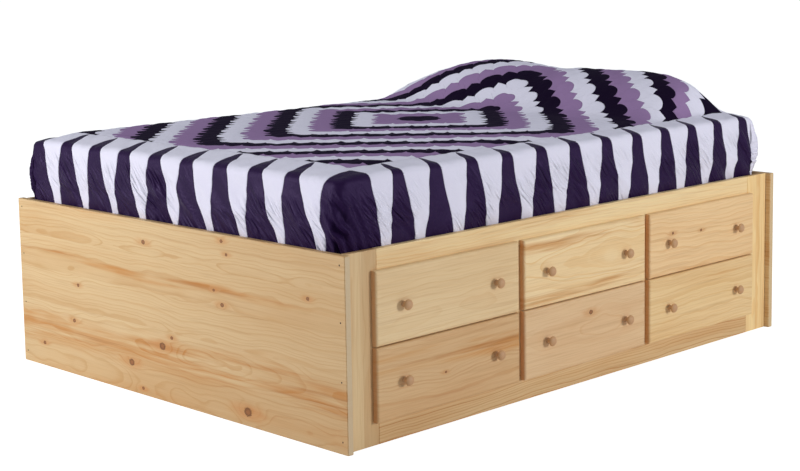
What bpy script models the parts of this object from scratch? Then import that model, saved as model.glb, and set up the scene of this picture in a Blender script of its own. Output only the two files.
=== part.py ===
"""Platform bed with six storage drawers, a mattress, two pillows and a quilt.

Metres, +Z up. The bed stands on z = 0 with its foot towards -Y and its head towards +Y.
The drawers open towards +X. The other long side, at -X, is plain and stands against a wall.
"""

from math import cos, pi, sin

import bmesh
import bpy

# ---- driving dimensions -----------------------------------------------------------------

WIDTH = 1.640            # foot panel, edge to edge
LENGTH = 2.108           # outer face of the foot panel to outer face of the head panel
HEIGHT = 0.565           # both panels
GAP = 0.0003             # left between pieces that touch

PANEL_T = 0.022          # foot and head panels
SIDE_SETBACK = 0.019     # long sides stand this far inside the panels' edges
SIDE_T = 0.020           # face frame and wall side panel
STILE_W = 0.117
BOTTOM_RAIL_H = 0.085
TOP_RAIL_H = 0.075
MULLION_W = 0.060

FRONT_T = 0.0205         # drawer fronts
FRONT_W = 0.6055
FRONT_H = 0.2178
FRONT_COLUMN_GAP = 0.0235
FRONT_ROW_GAP = 0.0029
FIRST_FRONT_Y = 0.1165   # from the foot panel's outer face
FIRST_FRONT_Z = 0.0675
FRONT_ROUND = 0.008
COLUMNS = 3
ROWS = ("lower", "upper")

KNOB_LENGTH = 0.029
KNOB_R = 0.0158
KNOB_NECK_R = 0.0085
KNOB_INSET = 0.107       # knob axis to the end of its front

BOX_W = 0.548
BOX_DEPTH = 0.560
BOX_H = 0.173
BOX_WALL = 0.015
BOX_BOTTOM_T = 0.006
GROOVE_DEPTH = 0.006
GROOVE_Z = 0.010         # underside of the groove above the box's lower edge
BOX_REAR_SPACE = 0.012

RUNNER_TOP = {"lower": 0.0887, "upper": 0.3110}
RUNNER_SHELF_T = 0.018
RUNNER_SHELF_W = 0.022   # what one drawer side slides on
RUNNER_RIB_H = 0.030
RUNNER_SIDE_PLAY = 0.003

CHEST_BACK_T = 0.018
DECK_T = 0.018
DECK_TOP = 0.525
DECK_BOARDS = 3
DECK_JOINT = 0.001
CLEAT_T = 0.020
CLEAT_H = 0.040
FRONT_CLEAT_H = 0.016
BEARER = (0.038, 0.089)  # width and height of the beam under the wall half of the deck

MATTRESS = (1.520, 2.000, 0.255)
MATTRESS_ROUND = 0.035
MATTRESS_FOOT_SPACE = 0.0195
QUILT_T = 0.010
QUILT_CLEARANCE = 0.003
QUILT_SHOULDER = 0.045
PILLOW = (0.660, 0.440, 0.135)
PILLOW_SPREAD = 0.335    # each pillow's middle to the bed's centreline
PILLOW_HEAD_SPACE = 0.060

# ---- places worked out from them --------------------------------------------------------

KNOB_OUT = FRONT_T + GAP + KNOB_LENGTH - SIDE_SETBACK
WALL_X = -(WIDTH + KNOB_OUT) / 2
DRAWER_X = WALL_X + WIDTH
MIDDLE_X = (WALL_X + DRAWER_X) / 2
FOOT_Y = -LENGTH / 2
HEAD_Y = LENGTH / 2

FRAME_X = DRAWER_X - SIDE_SETBACK              # outer face of the face frame
FRAME_BACK_X = FRAME_X - SIDE_T
WALL_PANEL_X = WALL_X + SIDE_SETBACK
WALL_INNER_X = WALL_PANEL_X + SIDE_T
FOOT_INNER_Y = FOOT_Y + PANEL_T
HEAD_INNER_Y = HEAD_Y - PANEL_T
OPENING_LOW_Y = FOOT_INNER_Y + STILE_W
OPENING_HIGH_Y = HEAD_INNER_Y - STILE_W
TOP_RAIL_Z = HEIGHT - TOP_RAIL_H

BOX_FRONT_X = FRAME_X - GAP
BOX_REAR_X = BOX_FRONT_X - BOX_DEPTH
CHEST_BACK_X = BOX_REAR_X - BOX_REAR_SPACE     # face towards the drawers
DECK_UNDER = DECK_TOP - DECK_T
MATTRESS_FOOT_Y = FOOT_INNER_Y + MATTRESS_FOOT_SPACE
MATTRESS_HEAD_Y = MATTRESS_FOOT_Y + MATTRESS[1]
MATTRESS_TOP = DECK_TOP + GAP + MATTRESS[2]

# ---- colours (linear) -------------------------------------------------------------------

PINE = (0.72, 0.49, 0.25)
PINE_FRONT = (0.76, 0.52, 0.27)
PINE_INNER = (0.66, 0.46, 0.26)
KNOB_WOOD = (0.60, 0.40, 0.26)
PLYWOOD = (0.66, 0.50, 0.31)
TICKING = (0.80, 0.80, 0.78)
PILLOW_COTTON = (0.85, 0.85, 0.84)
QUILT_PURPLE = (0.23, 0.16, 0.33)


# ---- helpers ----------------------------------------------------------------------------

def clear_scene():
    for old in list(bpy.data.objects):
        bpy.data.objects.remove(old, do_unlink=True)


def new_collection(name):
    collection = bpy.data.collections.new(name)
    bpy.context.scene.collection.children.link(collection)
    return collection


def paint(item, colour, roughness=0.55):
    """Give an object a material of its own."""
    material = bpy.data.materials.new(item.name)
    material.use_nodes = True
    shader = material.node_tree.nodes["Principled BSDF"]
    shader.inputs["Base Color"].default_value = (*colour, 1.0)
    shader.inputs["Roughness"].default_value = roughness
    shader.inputs["Metallic"].default_value = 0.0
    item.data.materials.append(material)


def add_object(name, data, collection, location=(0, 0, 0), parent=None):
    item = bpy.data.objects.new(name, data)
    item.location = location
    collection.objects.link(item)
    if parent:
        item.parent = parent
        item.location = [place - origin for place, origin in zip(location, parent.location)]
    return item


def box_mesh(name, size):
    mesh = bpy.data.meshes.new(name)
    cage = bmesh.new()
    bmesh.ops.create_cube(cage, size=1.0)
    bmesh.ops.scale(cage, vec=size, verts=cage.verts)
    cage.to_mesh(mesh)
    cage.free()
    return mesh


def add_box(name, low, high, collection, parent=None):
    """A box between two corners, with its origin at its middle."""
    size = [b - a for a, b in zip(low, high)]
    middle = [(a + b) / 2 for a, b in zip(low, high)]
    return add_object(name, box_mesh(name, size), collection, middle, parent)


def soften(item, width, segments=1):
    """Break the edges of a board."""
    bevel = item.modifiers.new("broken_edges", "BEVEL")
    bevel.width = width
    bevel.segments = segments
    bevel.limit_method = "ANGLE"


def cut(item, cutter, label):
    boolean = item.modifiers.new(label, "BOOLEAN")
    boolean.operation = "DIFFERENCE"
    boolean.solver = "EXACT"
    boolean.object = cutter


def add_cutter(name, low, high, parent=None):
    cutter = add_box(name, low, high, CUTTERS, parent)
    cutter.hide_render = True
    cutter.display_type = "WIRE"
    return cutter


def board(name, low, high, colour, edge=0.0015):
    item = add_box(name, low, high, BED)
    soften(item, edge)
    paint(item, colour)
    return item


def add_profile(name, outline, low_x, high_x, colour):
    """A bar of constant (y, z) outline that runs along X."""
    curve = bpy.data.curves.new(name, "CURVE")
    curve.dimensions = "2D"
    curve.fill_mode = "BOTH"
    curve.extrude = (high_x - low_x) / 2
    spline = curve.splines.new("POLY")
    spline.points.add(len(outline) - 1)
    for point, (y, z) in zip(spline.points, outline):
        point.co = (y, z, 0, 1)
    spline.use_cyclic_u = True
    item = add_object(name, curve, BED, ((low_x + high_x) / 2, 0, 0))
    item.rotation_euler = (pi / 2, 0, pi / 2)
    paint(item, colour)
    return item


# ---- carcass ----------------------------------------------------------------------------

def add_end_panels():
    board("foot_panel", (WALL_X, FOOT_Y, 0), (DRAWER_X, FOOT_INNER_Y, HEIGHT), PINE, 0.002)
    board("head_panel", (WALL_X, HEAD_INNER_Y, 0), (DRAWER_X, HEAD_Y, HEIGHT), PINE, 0.002)


def column_middle(column):
    return FOOT_Y + FIRST_FRONT_Y + FRONT_W / 2 + column * (FRONT_W + FRONT_COLUMN_GAP)


def mullion_middle(index):
    return (column_middle(index) + column_middle(index + 1)) / 2


def add_face_frame():
    board("stile_foot", (FRAME_BACK_X, FOOT_INNER_Y + GAP, 0),
          (FRAME_X, OPENING_LOW_Y - GAP, HEIGHT), PINE)
    board("stile_head", (FRAME_BACK_X, OPENING_HIGH_Y + GAP, 0),
          (FRAME_X, HEAD_INNER_Y - GAP, HEIGHT), PINE)
    board("rail_bottom", (FRAME_BACK_X, OPENING_LOW_Y, 0),
          (FRAME_X, OPENING_HIGH_Y, BOTTOM_RAIL_H), PINE)
    board("rail_top", (FRAME_BACK_X, OPENING_LOW_Y, TOP_RAIL_Z),
          (FRAME_X, OPENING_HIGH_Y, HEIGHT), PINE)
    for index in range(COLUMNS - 1):
        middle = mullion_middle(index)
        board(f"mullion_{index + 1}",
              (FRAME_BACK_X, middle - MULLION_W / 2, BOTTOM_RAIL_H + GAP),
              (FRAME_X, middle + MULLION_W / 2, TOP_RAIL_Z - GAP), PINE_INNER)


def add_wall_side_and_chest_back():
    board("wall_side_panel", (WALL_PANEL_X, FOOT_INNER_Y + GAP, 0),
          (WALL_INNER_X, HEAD_INNER_Y - GAP, HEIGHT), PINE)
    board("chest_back", (CHEST_BACK_X - CHEST_BACK_T, FOOT_INNER_Y + GAP, 0),
          (CHEST_BACK_X, HEAD_INNER_Y - GAP, DECK_UNDER - GAP), PLYWOOD, 0.0005)


def shared_runner_outline(index, top):
    """A T on its back: a guide rib between two drawers, and a shelf under each one's side."""
    middle = mullion_middle(index)
    rib_half = (column_middle(index + 1) - column_middle(index) - BOX_W) / 2 - RUNNER_SIDE_PLAY
    shelf_half = rib_half + RUNNER_SIDE_PLAY + RUNNER_SHELF_W
    under = top - RUNNER_SHELF_T
    crown = top + RUNNER_RIB_H
    return [(middle - shelf_half, under), (middle + shelf_half, under), (middle + shelf_half, top),
            (middle + rib_half, top), (middle + rib_half, crown), (middle - rib_half, crown),
            (middle - rib_half, top), (middle - shelf_half, top)]


def end_runner_outline(wall_y, box_side_y, top):
    """An L: a shelf from an end panel to under the drawer's side, with a guide rib on it."""
    inward = 1 if box_side_y > wall_y else -1
    rib_in = box_side_y - inward * RUNNER_SIDE_PLAY
    rib_out = rib_in - inward * RUNNER_SHELF_W
    shelf_in = box_side_y + inward * RUNNER_SHELF_W
    wall = wall_y + inward * GAP
    under = top - RUNNER_SHELF_T
    crown = top + RUNNER_RIB_H
    outline = [(wall, under), (shelf_in, under), (shelf_in, top), (rib_in, top),
               (rib_in, crown), (rib_out, crown), (rib_out, top), (wall, top)]
    return outline if inward > 0 else outline[::-1]


def add_runners():
    low_x = CHEST_BACK_X + GAP
    high_x = FRAME_BACK_X - GAP
    foot_side = column_middle(0) - BOX_W / 2
    head_side = column_middle(COLUMNS - 1) + BOX_W / 2
    for row in ROWS:
        top = RUNNER_TOP[row]
        outlines = [end_runner_outline(FOOT_INNER_Y, foot_side, top)]
        outlines += [shared_runner_outline(index, top) for index in range(COLUMNS - 1)]
        outlines += [end_runner_outline(HEAD_INNER_Y, head_side, top)]
        for number, outline in enumerate(outlines, start=1):
            add_profile(f"runner_{row}_{number}", outline, low_x, high_x, PINE_INNER)


def add_deck():
    cleat_low = DECK_UNDER - GAP - CLEAT_H
    cleat_high = DECK_UNDER - GAP
    low_x = WALL_INNER_X + GAP
    high_x = FRAME_BACK_X - GAP
    chest_rear_x = CHEST_BACK_X - CHEST_BACK_T - GAP
    board("cleat_wall", (low_x, FOOT_INNER_Y + GAP, cleat_low),
          (low_x + CLEAT_T, HEAD_INNER_Y - GAP, cleat_high), PINE_INNER)
    board("cleat_foot", (low_x + CLEAT_T + GAP, FOOT_INNER_Y + GAP, cleat_low),
          (chest_rear_x, FOOT_INNER_Y + CLEAT_T, cleat_high), PINE_INNER)
    board("cleat_head", (low_x + CLEAT_T + GAP, HEAD_INNER_Y - CLEAT_T, cleat_low),
          (chest_rear_x, HEAD_INNER_Y - GAP, cleat_high), PINE_INNER)
    board("cleat_front", (high_x - CLEAT_T, FOOT_INNER_Y + GAP, cleat_high - FRONT_CLEAT_H),
          (high_x, HEAD_INNER_Y - GAP, cleat_high), PINE_INNER)
    middle_x = (low_x + chest_rear_x) / 2
    board("deck_bearer", (middle_x - BEARER[0] / 2, FOOT_INNER_Y + CLEAT_T + GAP, cleat_high - BEARER[1]),
          (middle_x + BEARER[0] / 2, HEAD_INNER_Y - CLEAT_T - GAP, cleat_high), PINE_INNER)
    span = (HEAD_INNER_Y - FOOT_INNER_Y - 2 * DECK_JOINT) / DECK_BOARDS
    for index in range(DECK_BOARDS):
        low_y = FOOT_INNER_Y + DECK_JOINT + index * span
        board(f"deck_board_{index + 1}", (low_x, low_y, DECK_UNDER),
              (high_x, low_y + span - DECK_JOINT, DECK_TOP), PLYWOOD, 0.0005)


# ---- drawers ----------------------------------------------------------------------------

def round_front_edges(item):
    """Round over the four edges of the outer face, through bevel weights."""
    mesh = item.data
    weights = mesh.attributes.new("bevel_weight_edge", "FLOAT", "EDGE")
    outer = max(vertex.co.x for vertex in mesh.vertices)
    for edge in mesh.edges:
        on_face = all(abs(mesh.vertices[i].co.x - outer) < 1e-6 for i in edge.vertices)
        weights.data[edge.index].value = 1.0 if on_face else 0.15
    bevel = item.modifiers.new("round_over", "BEVEL")
    bevel.limit_method = "WEIGHT"
    bevel.width = FRONT_ROUND
    bevel.segments = 4


def knob_profile():
    """(radius, distance from the front) of a turned mushroom knob, from base to crown."""
    neck_z = KNOB_LENGTH * 0.42
    rim_z = KNOB_LENGTH * 0.66
    profile = [(0.0, 0.0), (KNOB_NECK_R * 1.25, 0.0), (KNOB_NECK_R * 1.25, 0.0015),
               (KNOB_NECK_R, 0.005), (KNOB_NECK_R, neck_z * 0.8)]
    profile += [(KNOB_NECK_R + (KNOB_R - KNOB_NECK_R) * sin(a), neck_z + (rim_z - neck_z) * (1 - cos(a)))
                for a in (pi / 8, pi / 4, 3 * pi / 8, pi / 2)]
    profile += [(KNOB_R * cos(a), rim_z + (KNOB_LENGTH - rim_z) * sin(a))
                for a in (pi / 10, pi / 5, 3 * pi / 10, 2 * pi / 5)]
    profile += [(0.0, KNOB_LENGTH)]
    return profile


def add_knob(name, y, z, parent):
    mesh = bpy.data.meshes.new(name)
    points = [(radius, 0, along) for radius, along in knob_profile()]
    mesh.from_pydata(points, [(i, i + 1) for i in range(len(points) - 1)], [])
    item = add_object(name, mesh, BED, (FRAME_X + FRONT_T + GAP, y, z), parent)
    item.rotation_euler = (0, pi / 2, 0)
    screw = item.modifiers.new("turned", "SCREW")
    screw.axis = "Z"
    screw.steps = 24
    screw.render_steps = 24
    screw.use_merge_vertices = True
    screw.merge_threshold = 0.0001
    screw.use_normal_calculate = True
    paint(item, KNOB_WOOD, 0.5)


def add_drawer_box(drawer, middle_y, low_z, parent):
    """Four glued walls in one ring, grooved all round for the bottom, and the bottom in it."""
    rear = BOX_REAR_X
    front = BOX_FRONT_X
    low_y = middle_y - BOX_W / 2
    high_y = middle_y + BOX_W / 2
    ring = add_box(f"{drawer}_box", (rear, low_y, low_z), (front, high_y, low_z + BOX_H), BED, parent)
    hollow = add_cutter(f"{drawer}_hollow",
                        (rear + BOX_WALL, low_y + BOX_WALL, low_z - 0.02),
                        (front - BOX_WALL, high_y - BOX_WALL, low_z + BOX_H + 0.02), parent)
    reach = BOX_WALL - GROOVE_DEPTH
    groove_low = low_z + GROOVE_Z
    groove_high = groove_low + BOX_BOTTOM_T + 2 * GAP
    groove = add_cutter(f"{drawer}_groove", (rear + reach, low_y + reach, groove_low),
                        (front - reach, high_y - reach, groove_high), parent)
    cut(ring, hollow, "hollow")
    cut(ring, groove, "groove")
    paint(ring, PINE_INNER)
    fit = reach + GAP
    bottom = add_box(f"{drawer}_bottom", (rear + fit, low_y + fit, groove_low + GAP),
                     (front - fit, high_y - fit, groove_high - GAP), BED, parent)
    paint(bottom, PLYWOOD)


def add_drawer(row_index, column):
    drawer = f"drawer_{ROWS[row_index]}_{column + 1}"
    middle_y = column_middle(column)
    low_z = FIRST_FRONT_Z + row_index * (FRONT_H + FRONT_ROW_GAP)
    slide = bpy.data.objects.new(f"{drawer}_slide", None)
    slide.location = (FRAME_X, middle_y, low_z + FRONT_H / 2)
    BED.objects.link(slide)
    front = add_box(f"{drawer}_front", (FRAME_X + GAP, middle_y - FRONT_W / 2, low_z),
                    (FRAME_X + FRONT_T, middle_y + FRONT_W / 2, low_z + FRONT_H), BED, slide)
    round_front_edges(front)
    paint(front, PINE_FRONT)
    add_drawer_box(drawer, middle_y, RUNNER_TOP[ROWS[row_index]] + GAP, slide)
    knob_reach = FRONT_W / 2 - KNOB_INSET
    for side, y in (("left", middle_y - knob_reach), ("right", middle_y + knob_reach)):
        add_knob(f"{drawer}_knob_{side}", y, low_z + FRONT_H / 2, slide)


def add_drawers():
    for row_index in range(len(ROWS)):
        for column in range(COLUMNS):
            add_drawer(row_index, column)


# ---- bedding ----------------------------------------------------------------------------

def add_mattress(lift):
    half = MATTRESS[0] / 2
    mattress = add_box("mattress", (MIDDLE_X - half, MATTRESS_FOOT_Y, DECK_TOP + GAP),
                       (MIDDLE_X + half, MATTRESS_HEAD_Y, MATTRESS_TOP), BED, lift)
    soften(mattress, MATTRESS_ROUND, 4)
    paint(mattress, TICKING, 0.9)


def pillow_fullness(u, v):
    """Share of the full thickness at (u, v), each from -1 to 1 across the pillow."""
    return max(0.12, (1 - u ** 4) * (1 - v ** 4)) ** 0.5


def add_pillow(name, middle_x, lift):
    mesh = bpy.data.meshes.new(name)
    cage = bmesh.new()
    bmesh.ops.create_cube(cage, size=2.0)
    bmesh.ops.subdivide_edges(cage, edges=cage.edges, cuts=5, use_grid_fill=True)
    for vertex in cage.verts:
        full = pillow_fullness(vertex.co.x, vertex.co.y)
        vertex.co.z *= full * PILLOW[2] / 2
        vertex.co.x *= PILLOW[0] / 2
        vertex.co.y *= PILLOW[1] / 2
    cage.to_mesh(mesh)
    cage.free()
    place = (middle_x, pillow_middle_y(), MATTRESS_TOP + 2 * GAP + PILLOW[2] / 2)
    pillow = add_object(name, mesh, BED, place, lift)
    smooth = pillow.modifiers.new("soft", "SUBSURF")
    smooth.levels = 1
    smooth.render_levels = 1
    paint(pillow, PILLOW_COTTON, 0.9)


def pillow_middle_y():
    return MATTRESS_HEAD_Y - PILLOW_HEAD_SPACE - PILLOW[1] / 2


def ramp(distance, start, end):
    """0 before start, 1 after end, a cosine curve between."""
    share = min(max((distance - start) / (end - start), 0.0), 1.0)
    return (1 - cos(pi * share)) / 2


def pillow_rise(x, y):
    """How far the pillows lift the quilt at a place on the mattress."""
    reach_x = PILLOW_SPREAD + PILLOW[0] / 2
    from_foot = y - (pillow_middle_y() - PILLOW[1] / 2)
    from_head = (MATTRESS_HEAD_Y + QUILT_CLEARANCE) - y
    along = ramp(from_foot, -0.22, 0.02) * ramp(from_head, -0.01, 0.06)
    across = ramp(reach_x + 0.09 - abs(x - MIDDLE_X), 0.0, 0.10)
    dip = 0.018 * (1 - ramp(abs(x - MIDDLE_X), 0.0, 0.16))
    return (PILLOW[2] + 0.018 - dip) * along * across


def loops(low, high, count, margin):
    """Cage lines across the quilt: both edges, a line inside each, and an even spread."""
    inner = [low + margin + i * (high - low - 2 * margin) / (count - 1) for i in range(count)]
    return [low] + inner + [high]


def add_quilt(lift):
    reach = QUILT_T + QUILT_CLEARANCE
    xs = loops(MIDDLE_X - MATTRESS[0] / 2 - reach, MIDDLE_X + MATTRESS[0] / 2 + reach,
               15, QUILT_SHOULDER)
    ys = loops(MATTRESS_FOOT_Y - reach, MATTRESS_HEAD_Y + reach, 23, QUILT_SHOULDER)
    top = MATTRESS_TOP + reach
    mesh = bpy.data.meshes.new("quilt")
    cage = bmesh.new()
    bmesh.ops.create_grid(cage, x_segments=len(xs) - 1, y_segments=len(ys) - 1, size=1.0)
    for vertex in cage.verts:
        i = round((vertex.co.x + 1) / 2 * (len(xs) - 1))
        j = round((vertex.co.y + 1) / 2 * (len(ys) - 1))
        vertex.co = (xs[i], ys[j], top + pillow_rise(xs[i], ys[j]))
    drop_skirt(cage, top - QUILT_SHOULDER)
    drop_skirt(cage, DECK_TOP + 0.012)
    cage.to_mesh(mesh)
    cage.free()
    quilt = add_object("quilt", mesh, BED, (0, 0, 0), lift)
    smooth = quilt.modifiers.new("soft", "SUBSURF")
    smooth.levels = 1
    smooth.render_levels = 1
    thickness = quilt.modifiers.new("thickness", "SOLIDIFY")
    thickness.thickness = QUILT_T
    thickness.offset = -1.0
    paint(quilt, QUILT_PURPLE, 0.9)


def drop_skirt(cage, level):
    """Carry the open edge of the cage straight down to a level."""
    rim = [edge for edge in cage.edges if edge.is_boundary]
    grown = bmesh.ops.extrude_edge_only(cage, edges=rim)["geom"]
    for item in grown:
        if isinstance(item, bmesh.types.BMVert):
            item.co.z = level


def add_bedding():
    lift = bpy.data.objects.new("bedding_lift", None)
    lift.location = (MIDDLE_X, (MATTRESS_FOOT_Y + MATTRESS_HEAD_Y) / 2, DECK_TOP)
    BED.objects.link(lift)
    add_mattress(lift)
    add_pillow("pillow_wall_side", MIDDLE_X - PILLOW_SPREAD, lift)
    add_pillow("pillow_drawer_side", MIDDLE_X + PILLOW_SPREAD, lift)
    add_quilt(lift)


# ---- build ------------------------------------------------------------------------------

clear_scene()
BED = new_collection("platform_bed_with_storage_drawers")
CUTTERS = new_collection("cutters")

add_end_panels()
add_face_frame()
add_wall_side_and_chest_back()
add_runners()
add_deck()
add_drawers()
add_bedding()
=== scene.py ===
"""Looks of the platform bed: pine boards, turned knobs, nails, mattress, pillows and quilt."""

from functools import cache
from math import cos, pi, radians, sin, sqrt, tau

import bmesh
import bpy
import numpy as np
from mathutils import Matrix, Vector, noise


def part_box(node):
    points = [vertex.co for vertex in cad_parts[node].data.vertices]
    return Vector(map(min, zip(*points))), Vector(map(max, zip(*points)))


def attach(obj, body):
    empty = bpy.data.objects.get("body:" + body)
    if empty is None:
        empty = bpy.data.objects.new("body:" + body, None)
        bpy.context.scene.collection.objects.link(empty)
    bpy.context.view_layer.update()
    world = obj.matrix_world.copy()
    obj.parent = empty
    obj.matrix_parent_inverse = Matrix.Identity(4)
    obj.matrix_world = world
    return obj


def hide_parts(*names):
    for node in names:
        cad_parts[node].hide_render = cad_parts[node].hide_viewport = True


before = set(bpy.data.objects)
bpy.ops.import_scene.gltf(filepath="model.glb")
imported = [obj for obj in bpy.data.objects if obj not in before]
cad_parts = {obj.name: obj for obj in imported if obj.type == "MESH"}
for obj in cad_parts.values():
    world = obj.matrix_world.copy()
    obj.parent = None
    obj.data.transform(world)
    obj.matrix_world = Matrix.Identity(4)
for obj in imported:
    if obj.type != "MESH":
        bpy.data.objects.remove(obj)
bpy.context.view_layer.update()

# ---- places read from the frame ---------------------------------------------------------

FOOT_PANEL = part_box("foot_panel")
HEAD_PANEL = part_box("head_panel")
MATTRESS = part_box("mattress")
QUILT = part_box("quilt")
STILE_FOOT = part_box("stile_foot")

MIDDLE_X = (FOOT_PANEL[0][0] + FOOT_PANEL[1][0]) / 2
FOOT_Y = FOOT_PANEL[0][1]
HEAD_Y = HEAD_PANEL[1][1]
PANEL_TOP = FOOT_PANEL[1][2]

ROWS = ("lower", "upper")
COLUMNS = (1, 2, 3)
X, Y, Z = 0, 1, 2


def linked(name, data):
    """A new object in the scene."""
    item = bpy.data.objects.new(name, data)
    bpy.context.scene.collection.objects.link(item)
    return item


def mesh_of(name, shape):
    """A mesh from a bmesh, which is used up."""
    mesh = bpy.data.meshes.new(name)
    shape.to_mesh(mesh)
    shape.free()
    return mesh


# ---- camera, floor and light ------------------------------------------------------------

CAMERA_AT = (4.1745, -4.1533, 1.4370)
CAMERA_AZIMUTH = radians(45.43)
CAMERA_ELEVATION = radians(7.41)
CAMERA_ROLL = radians(-0.92)
CAMERA_LENS = 76.45
CAMERA_SHIFT_Y = -0.100


def add_camera():
    data = bpy.data.cameras.new("camera")
    data.lens = CAMERA_LENS
    data.shift_y = CAMERA_SHIFT_Y
    camera = linked("camera", data)
    level = cos(CAMERA_ELEVATION)
    forward = Vector((-sin(CAMERA_AZIMUTH) * level, cos(CAMERA_AZIMUTH) * level, -sin(CAMERA_ELEVATION)))
    turn = forward.to_track_quat("-Z", "Y").to_matrix() @ Matrix.Rotation(CAMERA_ROLL, 3, "Z")
    camera.matrix_world = Matrix.Translation(CAMERA_AT) @ turn.to_4x4()
    bpy.context.scene.camera = camera


LIGHTS = (
    # name, place, target, (width, height), power
    ("key_left", (-3.0, -6.0, 1.9), (-0.3, -1.0, 0.45), (1.6, 1.6), 220),
    ("key_right", (6.6, 2.2, 1.7), (0.8, 0.3, 0.40), (1.4, 1.4), 177),
    ("above", (0.4, -0.8, 4.6), (0, 0, 0.5), (3.5, 3.5), 30),
)
SKY_COLOUR = (0.86, 0.93, 1.0, 1.0)
SKY_LIGHT = 0.28
SKY_SEEN = 1.20
FLOOR_SEEN = 0.80


def when_seen(tree, seen, unseen):
    """A number that is higher for what the camera sees of the backdrop than for the light it gives."""
    path = tree.nodes.new("ShaderNodeLightPath")
    strength = tree.nodes.new("ShaderNodeMapRange")
    strength.inputs["To Min"].default_value = unseen
    strength.inputs["To Max"].default_value = seen
    tree.links.new(path.outputs["Is Camera Ray"], strength.inputs["Value"])
    return strength.outputs["Result"]


def add_floor():
    bpy.ops.mesh.primitive_plane_add(size=160, location=(0, 0, -0.001))
    floor = bpy.context.object
    floor.name = "floor"
    paint = Graph("floor_paint", 0.9)
    mottle = paint.noise(place_scaled(paint, 3.0), 3.0)
    paint.colour(paint.mix((0.88, 0.88, 0.88), (0.91, 0.91, 0.91), mottle))
    paint.shader.inputs["Emission Color"].default_value = (1.0, 1.0, 1.0, 1.0)
    paint.tree.links.new(when_seen(paint.tree, FLOOR_SEEN, 0.0), paint.shader.inputs["Emission Strength"])
    floor.data.materials.append(paint.material)


def add_area(name, place, target, size, power):
    data = bpy.data.lights.new(name, "AREA")
    data.shape = "RECTANGLE"
    data.size, data.size_y = size
    data.energy = power
    light = linked(name, data)
    light.location = place
    light.rotation_euler = (Vector(target) - Vector(place)).to_track_quat("-Z", "Y").to_euler()


def add_light():
    """Soft boxes low at the left and the right, in a white room."""
    world = bpy.data.worlds.new("studio")
    world.use_nodes = True
    background = world.node_tree.nodes["Background"]
    background.inputs["Color"].default_value = SKY_COLOUR
    strength = when_seen(world.node_tree, SKY_SEEN, SKY_LIGHT)
    world.node_tree.links.new(strength, background.inputs["Strength"])
    bpy.context.scene.world = world
    bpy.context.scene.view_settings.view_transform = "Standard"
    for light in LIGHTS:
        add_area(*light)


# ---- shader formulas --------------------------------------------------------------------

def formula(operation, turned=False):
    """A method of Term that adds one math node."""
    def method(self, *others):
        values = (*others, self) if turned else (self, *others)
        return self.graph.math(operation, *values)
    return method


class Term:
    """A number in a shader, so that formulas can be written as Python arithmetic."""

    def __init__(self, graph, socket):
        self.graph = graph
        self.socket = socket

    __add__ = formula("ADD")
    __radd__ = formula("ADD", turned=True)
    __sub__ = formula("SUBTRACT")
    __rsub__ = formula("SUBTRACT", turned=True)
    __mul__ = formula("MULTIPLY")
    __rmul__ = formula("MULTIPLY", turned=True)
    __truediv__ = formula("DIVIDE")
    __pow__ = formula("POWER")
    __abs__ = formula("ABSOLUTE")
    floor = formula("FLOOR")
    fract = formula("FRACT")
    sine = formula("SINE")
    root = formula("SQRT")
    low = formula("MINIMUM")
    high = formula("MAXIMUM")
    over = formula("GREATER_THAN")
    under = formula("LESS_THAN")

    def step(self, start, end):
        """A smooth step from 0 at start to 1 at end."""
        node = self.graph.node("ShaderNodeMapRange", interpolation_type="SMOOTHSTEP")
        for socket, value in zip(node.inputs, (self, start, end, 0.0, 1.0)):
            self.graph.feed(socket, value)
        return Term(self.graph, node.outputs[0])

    def choose(self, when_one, when_zero):
        return when_zero + self * (when_one - when_zero)


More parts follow.
